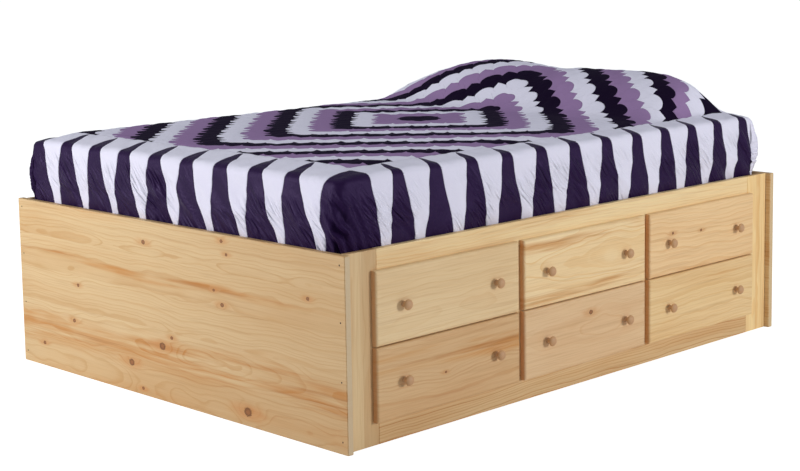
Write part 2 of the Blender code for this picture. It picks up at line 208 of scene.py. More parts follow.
class Graph:
    """One material, and the nodes that its formulas add."""

    def __init__(self, name, roughness):
        self.material = bpy.data.materials.new(name)
        self.material.use_nodes = True
        self.tree = self.material.node_tree
        self.shader = self.tree.nodes["Principled BSDF"]
        self.shader.inputs["Roughness"].default_value = roughness
        self.shader.inputs["Specular IOR Level"].default_value = 0.35

    def node(self, kind, **settings):
        node = self.tree.nodes.new(kind)
        for key, value in settings.items():
            setattr(node, key, value)
        return node

    def feed(self, socket, value):
        if isinstance(value, Term):
            self.tree.links.new(value.socket, socket)
        elif socket.type == "RGBA":
            socket.default_value = (*value, 1.0)
        else:
            socket.default_value = value

    def math(self, operation, *values):
        node = self.node("ShaderNodeMath", operation=operation)
        for socket, value in zip(node.inputs, values):
            self.feed(socket, value)
        return Term(self, node.outputs[0])

    def mix(self, start, end, share):
        node = self.node("ShaderNodeMix", data_type="RGBA")
        self.feed(node.inputs[0], share)
        self.feed(node.inputs[6], start)
        self.feed(node.inputs[7], end)
        return Term(self, node.outputs[2])

    def place(self):
        """Where the point is, in the frame's axes."""
        return self.parts(Term(self, self.node("ShaderNodeTexCoord").outputs["Object"]))

    def facing(self):
        """Which way the surface faces there."""
        return self.parts(Term(self, self.node("ShaderNodeTexCoord").outputs["Normal"]))

    def parts(self, vector):
        node = self.node("ShaderNodeSeparateXYZ")
        self.feed(node.inputs[0], vector)
        return [Term(self, socket) for socket in node.outputs]

    def vector(self, x, y, z=0.0):
        node = self.node("ShaderNodeCombineXYZ")
        for socket, value in zip(node.inputs, (x, y, z)):
            self.feed(socket, value)
        return Term(self, node.outputs[0])

    def noise(self, place, detail=2.0, roughness=0.5):
        """Smooth noise from 0 to 1, with features about one unit of the place wide."""
        node = self.node("ShaderNodeTexNoise")
        self.feed(node.inputs["Vector"], self.vector(*place))
        node.inputs["Scale"].default_value = 1.0
        self.feed(node.inputs["Detail"], detail)
        self.feed(node.inputs["Roughness"], roughness)
        return Term(self, node.outputs[0])

    def luck(self, number):
        """Three random numbers from 0 to 1 that depend only on the number given."""
        node = self.node("ShaderNodeTexWhiteNoise", noise_dimensions="1D")
        self.feed(node.inputs["W"], number)
        return self.parts(Term(self, node.outputs["Color"]))

    def map(self, name):
        node = self.node("ShaderNodeUVMap", uv_map=name)
        return self.parts(Term(self, node.outputs[0]))[:2]

    def colour(self, value):
        self.feed(self.shader.inputs["Base Color"], value)

    def rough(self, value):
        self.feed(self.shader.inputs["Roughness"], value)

    def bump(self, height, distance, strength=1.0):
        node = self.node("ShaderNodeBump")
        node.inputs["Distance"].default_value = distance
        node.inputs["Strength"].default_value = strength
        self.feed(node.inputs["Height"], height)
        self.feed(self.shader.inputs["Normal"], Term(self, node.outputs[0]))


def srgb(red, green, blue):
    """A colour as a screen shows it (0 to 255), in the linear values that shaders use."""
    return tuple(((value / 255 + 0.055) / 1.055) ** 2.4 for value in (red, green, blue))


# ---- wood -------------------------------------------------------------------------------

PINE_PALE = srgb(236, 208, 160)
PINE_LATE = srgb(206, 156, 96)
PINE_HEART = srgb(208, 138, 60)
PINE_FIBRE = srgb(178, 128, 78)
PINE_STREAK = srgb(176, 110, 44)
PINE_END = srgb(176, 118, 70)
PINE_SHADE = srgb(160, 104, 56)
KNOT_BROWN = srgb(150, 92, 50)
KNOT_RIM = srgb(62, 38, 24)
KNOT_HALO = srgb(206, 132, 64)


class Knots:
    """Knots on a face: body, dark rim and warm halo masks, and how they bend the year rings."""

    def __init__(self, wood, run, width, knots):
        self.wood = wood
        self.body = self.rim = self.halo = self.push = None
        rough = (wood.noise((run * 260.0, width * 260.0), 2.0) - 0.5) * 0.8
        smear = (wood.noise((run * 18.0, width * 60.0), 2.0) - 0.5) * 1.6
        for at_run, at_width, radius in knots:
            off_run, off_width = run - at_run, width - at_width
            far = ((off_run * 0.8) ** 2 + off_width ** 2).root() / radius
            long = ((off_run * 0.34) ** 2 + off_width ** 2).root() / radius
            here = 1 - (far + rough).step(0.72, 1.05)
            ring = here * (far + rough).step(0.25, 0.80)
            warm = 1 - (long + smear).step(0.5, 2.6)
            spread = long * 0.55
            bend = wood.math("EXPONENT", 0 - spread * spread) * radius * 1.9
            if self.body is None:
                self.body, self.rim, self.halo, self.push = here, ring, warm, bend
            else:
                self.body = self.body.high(here)
                self.rim = self.rim.high(ring)
                self.halo = self.halo.high(warm)
                self.push = self.push + bend

    def over(self, colour):
        colour = self.wood.mix(colour, KNOT_HALO, self.halo * 0.45)
        colour = self.wood.mix(colour, KNOT_BROWN, self.body * 0.85)
        return self.wood.mix(colour, KNOT_RIM, self.rim * 0.5)


def heart_band(wood, run, width, band, seed):
    """Streaky mask of reddish heartwood round a (middle, half width) line."""
    drift = (wood.noise((run * 1.5, 0.0, seed), 2.0) - 0.5) * 0.10
    inside = 1 - abs(width - band[0] + drift).step(band[1] * 0.4, band[1] * 1.3)
    streaks = wood.noise((run * 2.2, width * 46.0, seed), 3.0, 0.6)
    return inside * streaks.step(0.34, 0.66)


class Log:
    """Where a board's points lay in the log it was sawn from, with its own luck for every board."""

    def __init__(self, wood, run, width, thick, board, seed):
        self.wood = wood
        strip = (width / board).floor()
        luck = wood.luck(strip * 1.37 + seed)
        self.tint, self.warmth, _ = wood.luck(strip * 2.11 + seed + 7.7)
        self.along = run + luck[0] * 9.0
        self.across = width - (strip + 0.5) * board + (luck[1] - 0.5) * board * 1.5
        self.deep = thick + 0.024 + luck[2] * 0.050
        self.glue = abs(width / board - (strip + 0.5)).step(0.4955, 0.4995) * 0.20

    def noise(self, along, across, detail, roughness=0.5):
        """Noise of so many features a metre along and across the log."""
        place = (self.along * along, self.across * across, self.deep * across)
        return self.wood.noise(place, detail, roughness)

    def years(self, rings, figure, push, seed):
        """The dark line of late wood that ends each year, and the soft rise towards it."""
        radius = (self.across * self.across + self.deep * self.deep).root()
        radius = radius + (self.noise(0.9 * figure, 3.0, 3.0) - 0.5) * 0.085 * sqrt(figure)
        radius = radius + (self.noise(6.0, 12.0, 3.0, 0.55) - 0.5) * 0.010
        radius = radius + push
        age = radius / rings + self.wood.noise((radius * 38.0, seed), 2.0) * 3.0
        year = age.fract()
        every = self.wood.luck(age.floor() + seed)[0]
        dark = year.step(0.50, 0.90) * (1 - year.step(0.94, 1.0)) * (0.25 + every * 0.75)
        return dark, year * (1 - year.step(0.90, 1.0)) * 0.35


def pine(name, box, along, across, board, seed, pale=PINE_PALE, late=PINE_LATE,
         heart=0.35, rings=0.0085, contrast=1.0, knots=(), bands=(), shade=None, ends=0.5,
         end_tone=PINE_END, figure=1.0, directions=None):
    """Planed pine made of edge-glued boards. Years show as cathedral figures on the faces.

    along and across are axis numbers; the third axis goes through the thickness. heart is how
    much reddish heartwood shows, and bands are (middle, half width) lines where it surely does.
    shade is a function of the graph and the place that darkens the wood; ends is how much of
    the end tone shows on end grain. A higher figure makes the years wander more along the board.
    """
    wood = Graph(name, 0.5)
    place = wood.place()
    depth = 3 - along - across
    run, width = place[along], place[across]
    thick = place[depth] - (box[0][depth] + box[1][depth]) / 2
    if directions:
        run, thick = directions(wood, place)
    log = Log(wood, run, width - box[0][across], thick, board, seed)
    marks = Knots(wood, run, width, knots) if knots else None
    dark, soft = log.years(rings, figure, marks.push if marks else 0.0, seed)
    tone = log.noise(1.2, 9.0, 3.0).step(0.35, 0.75) * 0.30 + log.tint * 0.20
    colour = wood.mix(pale, late, (dark * 0.42 + soft * 0.22) * contrast + tone)
    warm = wood.noise((log.along * 0.8, width * 9.0, 3.7), 4.0, 0.6)
    red = warm.step(0.48, 0.68) * heart * (0.4 + log.warmth * 1.2)
    for band in bands:
        red = red.high(heart_band(wood, run, width, band, seed + 10 * band[0]))
    colour = wood.mix(colour, PINE_HEART, red * (0.62 + dark * 0.38))
    streak = log.noise(1.6, 70.0, 3.0, 0.6).step(0.52, 0.74)
    colour = wood.mix(colour, PINE_STREAK, streak * (0.18 + red * 0.45))
    fibre = log.noise(7.0, 420.0, 2.0)
    colour = wood.mix(colour, PINE_FIBRE, fibre.step(0.42, 0.80) * 0.22)
    if shade:
        colour = wood.mix(colour, PINE_SHADE, shade(wood, place))
    if marks:
        colour = marks.over(colour)
    if directions is None:
        end = abs(wood.facing()[along]).step(0.75, 0.97)
        colour = wood.mix(colour, end_tone, end * ends)
    wood.colour(wood.mix(colour, PINE_FIBRE, log.glue))
    wood.rough(0.46 + fibre * 0.16)
    wood.bump(fibre * 0.35 - dark * 0.4 - log.glue, 0.0006, 0.5)
    return wood.material


def plywood(name, box, along, across, plies, seed):
    """A rotary-cut face veneer, and bare plies on the edges."""
    wood = Graph(name, 0.58)
    place = wood.place()
    depth = 3 - along - across
    run, width = place[along], place[across]
    low, high = box[0][depth], box[1][depth]
    broad = wood.noise((run * 1.1, width * 5.0, seed), 4.0, 0.55)
    year = (broad * 7.0 + width * 3.0).fract()
    figure = year.step(0.35, 0.9) * (1 - year.step(0.93, 1.0))
    fibre = wood.noise((run * 9.0, width * 380.0, seed), 2.0)
    face = wood.mix(srgb(226, 198, 152), srgb(204, 166, 116), figure * 0.5 + fibre * 0.3)
    layer = ((place[depth] - low) / ((high - low) / plies)).floor()
    odd = (layer / 2).fract() * 2
    edge_grain = wood.noise(place_scaled(wood, 240.0), 2.0)
    edge = wood.mix(srgb(206, 172, 124), srgb(150, 112, 74), odd * 0.65 + edge_grain * 0.35)
    on_edge = 1 - abs(wood.facing()[depth]).step(0.4, 0.8)
    wood.colour(wood.mix(face, edge, on_edge))
    wood.rough(0.52 + fibre * 0.2)
    wood.bump(fibre * 0.5 + figure * 0.3, 0.0005, 0.5)
    return wood.material


def place_scaled(graph, scale):
    return [part * scale for part in graph.place()]


def assign(node, material):
    """Give a CAD node a better material in place of its plain one."""
    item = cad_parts[node]
    if not item.material_slots:
        item.data.materials.append(material)
    for material_slot in item.material_slots:
        material_slot.material = material


PANEL_BOARDS = 5
RAIL_BOARD = 0.2          # wider than any rail, so that a rail is one board
WIDE_BOARD = 0.4          # wider than any front, for the same reason
SLIVER = 0.0001           # keeps a glue line off the last board's edge
FOOT_PANEL_KNOTS = [
    (-0.040, 0.176, 0.013), (-0.206, 0.097, 0.012), (0.371, 0.044, 0.015), (-0.149, 0.022, 0.006),
    (-0.707, 0.080, 0.007), (-0.493, 0.308, 0.006), (-0.123, 0.496, 0.008), (0.267, 0.545, 0.006),
    (0.289, 0.506, 0.005), (0.225, 0.391, 0.005), (0.263, 0.351, 0.007), (0.649, 0.425, 0.006),
    (-0.523, 0.184, 0.007), (0.009, 0.210, 0.006),
]
HEAD_PANEL_KNOTS = [(-0.52, 0.14, 0.012), (0.18, 0.33, 0.009), (0.47, 0.09, 0.006), (-0.12, 0.47, 0.007)]
WALL_PANEL_KNOTS = [(-0.71, 0.21, 0.012), (0.12, 0.41, 0.008), (0.66, 0.11, 0.014), (-0.22, 0.07, 0.007)]


def foot_panel_shade(wood, place):
    """Darker and warmer towards the floor and towards the drawer side, in smooth ramps."""
    low = 1 - (place[Z] / PANEL_TOP).step(0.05, 0.95)
    right = place[X].step(-0.5, 0.9)
    return low * 0.16 + right * 0.16


def stile_shade(wood, place):
    """The strip next to the drawers is browner than the one at the corner."""
    middle = (STILE_FOOT[0][1] + STILE_FOOT[1][1]) / 2
    return 0.10 + place[Y].over(middle) * 0.16


def clad(node, along, across, board, seed, **look):
    assign(node, pine(f"pine_{node}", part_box(node), along, across, board, seed, **look))


def clad_plywood(node, along, across, plies, seed):
    assign(node, plywood(f"plywood_{node}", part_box(node), along, across, plies, seed))


def finish_carcass():
    board = (PANEL_TOP + SLIVER) / PANEL_BOARDS
    clad("foot_panel", X, Z, board, 3.0, heart=0.30, knots=FOOT_PANEL_KNOTS, shade=foot_panel_shade,
         contrast=0.85, bands=((0.150, 0.058), (0.385, 0.014)), ends=0.8, rings=0.0105, figure=1.8,
         end_tone=srgb(214, 192, 158))
    clad("head_panel", X, Z, board, 11.0, knots=HEAD_PANEL_KNOTS, ends=0.8,
         end_tone=srgb(218, 190, 148))
    clad("wall_side_panel", Y, Z, board, 23.0, knots=WALL_PANEL_KNOTS)
    strip = (STILE_FOOT[1][1] - STILE_FOOT[0][1]) / 2 + SLIVER
    clad("stile_foot", Z, Y, strip, 31.0, heart=0.15, contrast=0.6, shade=stile_shade)
    clad("stile_head", Z, Y, strip, 37.0, heart=0.30, pale=srgb(255, 226, 168), late=srgb(242, 190, 118))
    clad("rail_top", Y, Z, RAIL_BOARD, 41.0, heart=0.45, contrast=0.7, pale=srgb(253, 228, 178),
         late=srgb(238, 190, 122))
    clad("rail_bottom", Y, Z, RAIL_BOARD, 47.0, heart=0.30, contrast=1.7, late=srgb(196, 138, 76))
    for index in (1, 2):
        clad(f"mullion_{index}", Z, Y, RAIL_BOARD, 50.0 + index, heart=0.3)
    clad_plywood("chest_back", Y, Z, 7, 1.0)
    for index in (1, 2, 3):
        clad_plywood(f"deck_board_{index}", X, Y, 7, 3.0 + index)
    for node in ("cleat_wall", "cleat_front", "deck_bearer"):
        clad(node, Y, Z, RAIL_BOARD, 60.0 + len(node))
    for node in ("cleat_foot", "cleat_head"):
        clad(node, X, Z, RAIL_BOARD, 60.0 + len(node))
    for row in ROWS:
        for index in (1, 2, 3, 4):
            clad(f"runner_{row}_{index}", X, Y, WIDE_BOARD, 70.0 + index + len(row))


# ---- drawers ----------------------------------------------------------------------------

FRONT_LOOKS = {
    ("upper", 1): dict(pale=srgb(242, 214, 168), late=srgb(224, 184, 130), heart=0.12, seed=101.0,
                       contrast=0.7),
    ("upper", 2): dict(pale=srgb(253, 226, 178), late=srgb(236, 188, 122), heart=0.25, seed=102.0,
                       bands=((0.485, 0.018), (0.310, 0.022)), contrast=1.1),
    ("upper", 3): dict(pale=srgb(250, 216, 166), late=srgb(230, 178, 118), heart=0.20, seed=103.0,
                       knots=[(0.447, 0.427, 0.005), (0.608, 0.416, 0.005)]),
    ("lower", 1): dict(pale=srgb(226, 190, 142), late=srgb(206, 154, 104), heart=0.30, seed=104.0,
                       bands=((0.222, 0.034),), knots=[(-0.66, 0.165, 0.004)]),
    ("lower", 2): dict(pale=srgb(236, 202, 158), late=srgb(220, 172, 122), heart=0.15, seed=105.0,
                       knots=[(0.011, 0.230, 0.008)], contrast=0.7),
    ("lower", 3): dict(pale=srgb(248, 218, 166), late=srgb(228, 184, 122), heart=0.15, seed=106.0,
                       bands=((0.262, 0.014),)),
}
FRONT_LOOK = dict(rings=0.016, ends=0.55, end_tone=srgb(206, 142, 90), figure=2.2)
BOX_WALL = 0.016


def box_directions(box):
    """Grain runs round the drawer box: along X in its sides, along Y in its front and back."""
    low, high = box

    def pick(wood, place):
        from_end = (place[Y] - low[1]).low(high[1] - place[Y])
        in_side = from_end.under(BOX_WALL)
        return in_side.choose(place[X], place[Y]), in_side.choose(place[Y], place[X])
    return pick


def finish_drawers():
    for row in ROWS:
        for column in COLUMNS:
            drawer = f"drawer_{row}_{column}"
            look = FRONT_LOOKS[(row, column)]
            clad(f"{drawer}_front", Y, Z, WIDE_BOARD, **FRONT_LOOK, **look)
            clad(f"{drawer}_box", Y, Z, WIDE_BOARD, look["seed"] + 40,
                 directions=box_directions(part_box(f"{drawer}_box")))
            clad_plywood(f"{drawer}_bottom", Y, X, 3, look["seed"])
            for side in ("left", "right"):
                add_knob(drawer, side)


KNOB_SEGMENTS = 56


def knob_outline(radius, length):
    """(distance from the axis, distance from the front): foot, slim neck, cupped head, crown."""
    neck = radius * 0.40
    foot = radius * 0.58
    points = [(foot, 0.0), (foot, length * 0.035)]
    points += [(foot - (foot - neck) * sin(a), length * (0.035 + 0.20 * (1 - cos(a))))
               for a in np.linspace(0.3, pi / 2, 6)]
    points += [(neck, length * 0.36)]
    points += [(neck + (radius * 0.97 - neck) * (1 - cos(a)), length * (0.36 + 0.25 * sin(a)))
               for a in np.linspace(0.25, pi / 2, 8)]
    points += [(radius, length * 0.645), (radius * 0.995, length * 0.68)]
    points += [(radius * 0.985 * cos(a), length * (0.69 + 0.31 * sin(a)))
               for a in np.linspace(0.10, 1.5, 12)]
    return points


def ringed_mesh(name, rings, closed):
    """A smooth mesh from rings of points: a closed loop of them, or a solid with flat ends."""
    count, sides = rings.shape[:2]
    faces = [(i * sides + j, i * sides + (j + 1) % sides,
              (i + 1) % count * sides + (j + 1) % sides, (i + 1) % count * sides + j)
             for i in range(count if closed else count - 1) for j in range(sides)]
    if not closed:
        faces += [range(sides)[::-1], range((count - 1) * sides, count * sides)]
    mesh = bpy.data.meshes.new(name)
    mesh.from_pydata(rings.reshape(-1, 3).tolist(), [], faces)
    mesh.shade_smooth()
    return mesh


def lathe(name, outline):
    """A closed turned solid about +X, from its foot to its crown."""
    turns = [tau * i / KNOB_SEGMENTS for i in range(KNOB_SEGMENTS)]
    rings = [[(along, radius * cos(turn), radius * sin(turn)) for turn in turns]
             for radius, along in outline]
    return ringed_mesh(name, np.array(rings), closed=False)


@cache
def knob_wood():
    wood = Graph("knob_birch", 0.42)
    x, y, z = wood.place()
    fibre = wood.noise((x * 60.0, y * 700.0, z * 700.0), 2.0)
    rings = (wood.noise((x * 8.0, y * 60.0, z * 60.0), 2.0) * 6.0).fract()
    crown = wood.facing()[X].step(0.55, 0.95)
    colour = wood.mix(srgb(222, 178, 132), srgb(196, 148, 102), fibre * 0.6 + rings * 0.25)
    wood.colour(wood.mix(colour, srgb(188, 142, 108), crown * 0.45))
    wood.rough(0.40 + fibre * 0.15)
    wood.bump(fibre, 0.0002, 0.4)
    return wood.material


def add_knob(drawer, side):
    node = f"{drawer}_knob_{side}"
    low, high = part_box(node)
    radius = (high[1] - low[1]) / 2
    mesh = lathe(f"{node}_turned", knob_outline(radius, high[0] - low[0]))
    mesh.transform(Matrix.Translation((low[0], (low[1] + high[1]) / 2, (low[2] + high[2]) / 2)))
    mesh.materials.append(knob_wood())
    knob = linked(f"{node}_turned", mesh)
    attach(knob, drawer)
    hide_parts(node)


# ---- nails ------------------------------------------------------------------------------

NAIL_HEIGHTS = (0.036, 0.207, 0.376, 0.538)
NAIL_INSET = 0.021
NAIL_RADIUS = 0.0026
NAIL_PROUD = 0.0005
NAIL_SIDES = 20
NAIL_CROWN = 0.72         # of its radius, where the head is flat


def nail_metal():
    metal = Graph("nail_steel", 0.45)
    metal.shader.inputs["Metallic"].default_value = 0.8
    stain = metal.noise(place_scaled(metal, 900.0), 3.0)
    metal.colour(metal.mix(srgb(92, 74, 58), srgb(58, 46, 38), stain))
    return metal.material


def add_nails():
    """Nail heads along both upright edges of each end panel, into the long sides."""
    shape = bmesh.new()
    for face_y, outward in ((FOOT_Y, -1), (HEAD_Y, 1)):
        for edge_x in (FOOT_PANEL[0][0] + NAIL_INSET, FOOT_PANEL[1][0] - NAIL_INSET):
            for height in NAIL_HEIGHTS:
                turn = Matrix.Rotation(-outward * pi / 2, 4, "X")
                place = Matrix.Translation((edge_x, face_y + outward * NAIL_PROUD / 2, height)) @ turn
                bmesh.ops.create_cone(shape, cap_ends=True, segments=NAIL_SIDES,
                                      radius1=NAIL_RADIUS, radius2=NAIL_RADIUS * NAIL_CROWN,
                                      depth=NAIL_PROUD, matrix=place)
    nails = linked("panel_nails", mesh_of("panel_nails", shape))
    nails.data.materials.append(nail_metal())
    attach(nails, "frame")


# ---- the quilt's shape ------------------------------------------------------------------

QUILT_HALF_X = (QUILT[1][0] - QUILT[0][0]) / 2
QUILT_HALF_Y = (QUILT[1][1] - QUILT[0][1]) / 2
QUILT_MIDDLE_Y = (QUILT[1][1] + QUILT[0][1]) / 2
QUILT_LIFT = 0.0125       # of its outer face above the mattress
HEM_LIFT = 0.006          # keeps the hem's folds inside the quilt's box
QUILT_TOP = MATTRESS[1][2] + QUILT_LIFT
QUILT_HEM = QUILT[0][2] + HEM_LIFT
QUILT_CORNER = 0.030      # plan radius of the upright corners
QUILT_SHOULDER = 0.015    # radius where the top turns down
QUILT_STEP = 0.008
QUILT_THICKNESS = 0.005
INNER_X = QUILT_HALF_X - QUILT_CORNER
INNER_Y = QUILT_HALF_Y - QUILT_CORNER
SKIRT = QUILT_TOP - PANEL_TOP       # height of the skirt that shows above the bed

TOE_Y = 0.436             # where the quilt starts to climb over the pillows
CREST_Y = 0.796
HEAD_BELLY = 0.022        # how far the skirt bulges towards the head panel
SAG_REACH = 0.115         # how far in from its edges the bedding sinks
DRAWER_SIDE_SAG = 0.021
WALL_SIDE_SAG = 0.026
END_SAG = 0.026
FOLD_LEAN = radians(52)   # drape folds run down and to the right at this angle
BROAD_FOLD = 0.0070
NARROW_FOLD = 0.0040
GATHER_PITCH = 0.036      # of the tucks at the corners
CORNER_GATHER = 0.0110
SIDE_GATHER = 0.0060      # next to the drawer-side foot corner
FOLD_LIMIT = 0.0200       # the skirt never stands out more than this
HEM_ROOM = 0.0145         # how much less at the hem, which is inside the box
RING_WIDTH = 0.071
RING_CENTRE = (-0.007, 0.090)
SCALLOP_PERIOD = 0.142    # one lobe and one spike, on the straight sides of the rings


def ease(value, start, end):
    share = np.clip((value - start) / (end - start), 0.0, 1.0)
    return share * share * (3 - 2 * share)


def crest(x):
    """Height of the two pillows' ridge above the mattress, across the bed."""
    places = (-0.76, -0.70, -0.64, -0.53, -0.42, -0.31, -0.21, -0.10, 0.0, 0.05,
              0.14, 0.38, 0.47, 0.51, 0.56, 0.60, 0.645, 0.67, 0.685, 0.70)
    heights = (0.0, 0.026, 0.064, 0.106, 0.137, 0.152, 0.155, 0.145, 0.133, 0.130,
               0.137, 0.137, 0.134, 0.130, 0.121, 0.107, 0.080, 0.040, 0.012, 0.0)
    return np.interp(x, places, heights)


def smoothed(values, axis, passes):
    for _ in range(passes):
        rolled = np.roll(values, 1, axis) + np.roll(values, -1, axis)
        inner = 0.5 * values + 0.25 * rolled
        middle = [slice(None)] * values.ndim
        middle[axis] = slice(1, -1)
        values = values.copy()
        values[tuple(middle)] = inner[tuple(middle)]
    return values


def pillow_hump(x, y):
    """How far the pillows lift the quilt at x from the bed's middle and y in the frame."""
    toe = TOE_Y + 0.06 * ease(-x, 0.35, 0.70)
    climb = (y - toe) / (CREST_Y - toe)
    rise = np.interp(climb, (0, 0.1, 0.2, 0.3, 0.4, 0.5, 0.6, 0.7, 0.8, 0.9, 1.0),
                     (0, 0.06, 0.17, 0.34, 0.53, 0.70, 0.82, 0.90, 0.955, 0.99, 1.0))
    return crest(x) * rise * (1 - ease(y, CREST_Y + 0.02, 0.975))


def edge_sag(s, t):
    """How far the bedding sinks towards its four edges."""
    by_side = np.clip(1 - (QUILT_HALF_X - s) / SAG_REACH, 0.0, 1.0) ** 1.25
    by_wall = ease(-s, 0.62, 0.745)
    by_end = np.clip(1 - (QUILT_HALF_Y - np.abs(t)) / SAG_REACH, 0.0, 1.0) ** 1.25
    side = DRAWER_SIDE_SAG * by_side + WALL_SIDE_SAG * by_wall
    end = END_SAG * by_end
    return (side ** 3 + end ** 3) ** (1 / 3)


def overhang(reach):
    """Outward and downward travel of cloth that runs off the top's inner rectangle by reach."""
    flat = QUILT_CORNER - QUILT_SHOULDER
    bend = np.clip((reach - flat) / QUILT_SHOULDER, 0.0, pi / 2)
    out = np.minimum(reach, flat) + QUILT_SHOULDER * np.sin(bend)
    down = QUILT_SHOULDER * (1 - np.cos(bend)) + np.maximum(reach - flat - QUILT_SHOULDER * pi / 2, 0.0)
    return out, down


def wave(u, v, scale_u, scale_v, seed):
    """Smooth random relief from -1 to 1, stretched differently along two directions."""
    values = [noise.noise(Vector((a, b, seed)))
              for a, b in zip((u * scale_u).ravel(), (v * scale_v).ravel())]
    return np.array(values).reshape(u.shape)


class QuiltGrid:
    """Cloth lines s (across) and t (along), and where their crossings hang before any folds."""

    def __init__(self):
        drop = QUILT_TOP - QUILT_HEM - QUILT_SHOULDER
        reach = QUILT_CORNER - QUILT_SHOULDER + QUILT_SHOULDER * pi / 2 + drop
        self.width = 2 * (INNER_X + reach)
        self.length = 2 * (INNER_Y + reach)
        s = np.linspace(-0.5, 0.5, round(self.width / QUILT_STEP) + 1) * self.width
        t = np.linspace(-0.5, 0.5, round(self.length / QUILT_STEP) + 1) * self.length
        self.s, self.t = np.meshgrid(s, t)
        past_x = np.maximum(np.abs(self.s) - INNER_X, 0.0)
        past_y = np.maximum(np.abs(self.t) - INNER_Y, 0.0)
        past = np.maximum(past_x, past_y)
        ratio = np.minimum(past_x, past_y) / np.maximum(past, 1e-9)
        self.angle = np.where(past_y > past_x, pi / 2 * (1 - ratio / 2), pi / 4 * ratio)
        self.hangs = past > 0
        out, self.down = overhang(past)
        self.normal_x = np.where(self.hangs, np.cos(self.angle), 0.0) * np.sign(self.s)
        self.normal_y = np.where(self.hangs, np.sin(self.angle), 0.0) * np.sign(self.t)
        self.x = np.clip(self.s, -INNER_X, INNER_X) + out * self.normal_x
        self.y = np.clip(self.t, -INNER_Y, INNER_Y) + out * self.normal_y

    def round_the_side(self):
        """Distance round the bed's edge to the right, from the corner at the foot by the drawers."""
        arc = QUILT_CORNER * (pi / 2 - self.angle)
        on_end = np.abs(self.t) > INNER_Y
        across = np.where(self.s > INNER_X, arc, self.s - INNER_X)
        along = self.t + INNER_Y + QUILT_CORNER * pi / 2
        foot = on_end & (self.t < 0)
        head = on_end & (self.t > 0)
        wall = (self.s < -INNER_X) & ~on_end
        return np.where(foot, across, np.where(head, 6.0 - self.s, np.where(wall, 9.0 - self.t, along)))


def quilt_folds(grid):
    """Outward push of the skirt: leaning drape folds, gathers at the corners, a slight belly."""
    down = grid.down
    walk = grid.round_the_side()
    across = walk * sin(FOLD_LEAN) - down * cos(FOLD_LEAN)
    along = walk * cos(FOLD_LEAN) + down * sin(FOLD_LEAN)
    bend = 0.010 * wave(walk, down, 9.0, 7.0, 4.0)
    broad = 1 - 2.4 * np.abs(wave(across + bend, along, 10.0, 2.4, 5.0))
    narrow = 1 - 2.4 * np.abs(wave(across + bend, along, 27.0, 3.6, 6.0))
    patches = ease(wave(walk, down, 5.0, 6.0, 7.0), -0.30, 0.30)
    sway = wave(walk, down, 7.0, 4.0, 9.0)
    fall = ease(down, 0.012, 0.09)
    share = np.clip(down / SKIRT, 0, 1)
    push = 0.007 * np.sin(share * pi) + fall * 0.0024 * sway
    push = push + fall * (BROAD_FOLD * (broad - 0.5) + NARROW_FOLD * (narrow - 0.5) * patches)
    middle = np.minimum(grid.angle, pi / 2 - grid.angle)
    at_corner = ease(middle, -0.12, 0.30) * (np.abs(grid.s) > INNER_X) * (np.abs(grid.t) > INNER_Y)
    by_corner = np.exp(-((walk - 0.05) / 0.11) ** 2) * (1 - at_corner)
    gather = np.sin(tau * (walk - 0.42 * down) / GATHER_PITCH + 1.6 * wave(walk, down, 9.0, 6.0, 12.0))
    gather = gather * np.where(grid.t < 0, 1.0, 0.35) * ease(down, 0.01, 0.12)
    push = push + (at_corner * CORNER_GATHER + by_corner * SIDE_GATHER) * gather
    push = np.minimum(push, FOLD_LIMIT - HEM_ROOM * ease(down, SKIRT - 0.05, SKIRT - 0.01))
    return push + HEAD_BELLY * np.sin(share * pi) * np.maximum(grid.normal_y, 0.0)


def field_puff(grid):
    """Bands of the field stand a little proud between their seams, with soft random relief."""
    a = (grid.s - RING_CENTRE[0] + grid.t - RING_CENTRE[1]) * sqrt(0.5)
    b = (grid.s - RING_CENTRE[0] - grid.t + RING_CENTRE[1]) * sqrt(0.5)
    size = (np.abs(a) ** 8 + np.abs(b) ** 8) ** (1 / 8)
    band = np.abs(np.sin(pi * (size - 0.013) / RING_WIDTH)) ** 0.6
    lobes = np.abs(np.sin(tau * (size - np.minimum(np.abs(a), np.abs(b))) / SCALLOP_PERIOD)) ** 0.7
    pucker = wave(grid.s, grid.t, 24.0, 24.0, 2.0) + 0.6 * wave(grid.s, grid.t, 48.0, 48.0, 3.0)
    slow = wave(grid.s, grid.t, 8.0, 8.0, 1.0)
    return 0.0022 * (band - 0.7) + 0.0016 * (lobes - 0.6) + 0.0018 * slow + 0.0013 * pucker


def quilt_shape(grid):
    hump = pillow_hump(grid.x, grid.y + QUILT_MIDDLE_Y)
    hump = smoothed(smoothed(hump, 0, 4), 1, 4) * (1 - ease(grid.down, 0.0, 0.10))
    sag = edge_sag(grid.s, grid.t) * (1 - ease(grid.down, 0.10, 0.20))
    edge_wave = 0.0022 * wave(grid.round_the_side(), grid.down, 6.0, 0.5, 21.0)
    near_edge = ease(grid.down, 0.0005, 0.012) * (1 - ease(grid.down, 0.02, 0.10))
    puff = field_puff(grid) * (1 - ease(grid.down, 0.0, 0.02))
    z = QUILT_TOP - grid.down + hump - sag + puff + edge_wave * near_edge
    push = quilt_folds(grid)
    x = grid.x + grid.normal_x * push + MIDDLE_X
    y = grid.y + grid.normal_y * push + QUILT_MIDDLE_Y
    return np.stack([x, y, z], -1)


